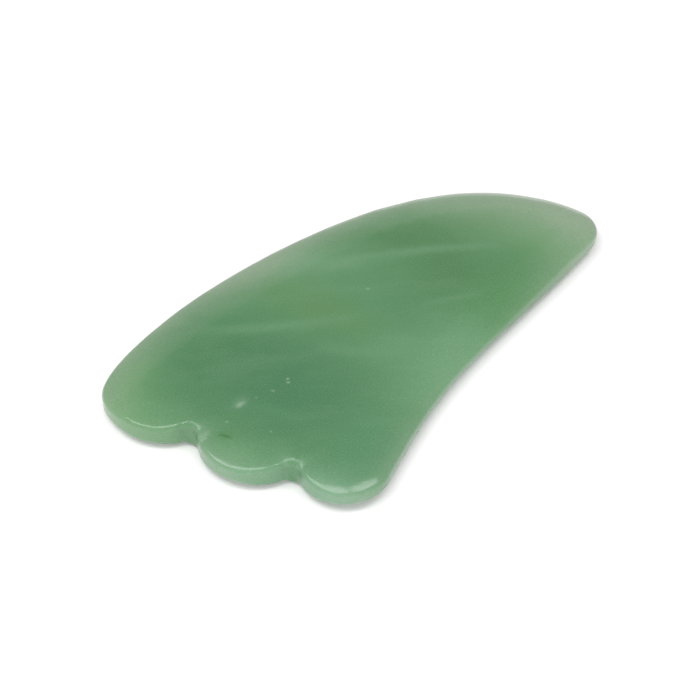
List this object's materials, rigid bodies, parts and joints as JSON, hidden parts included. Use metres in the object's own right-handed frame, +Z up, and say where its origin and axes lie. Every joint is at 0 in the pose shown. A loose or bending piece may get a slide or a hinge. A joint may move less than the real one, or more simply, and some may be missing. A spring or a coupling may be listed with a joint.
{
  "type": "gua sha scraper",
  "caption": "Polished green stone hand scraper: a flat plate with a comb-like lobed end, a bowed back edge, a hollow front edge and a blunt rounded tip.",
  "frame": {"origin": "middle of the length and width, on the face the scraper rests on", "axes": "+X from the lobed end towards the tip, +Y towards the bowed back edge, +Z up through the thickness"},
  "size_m": [0.11, 0.064, 0.0065],
  "materials": {
    "green_stone": "polished"
  },
  "bodies": {
    "root": {"scraper_plate": "green_stone"}
  },
  "joints": []
}
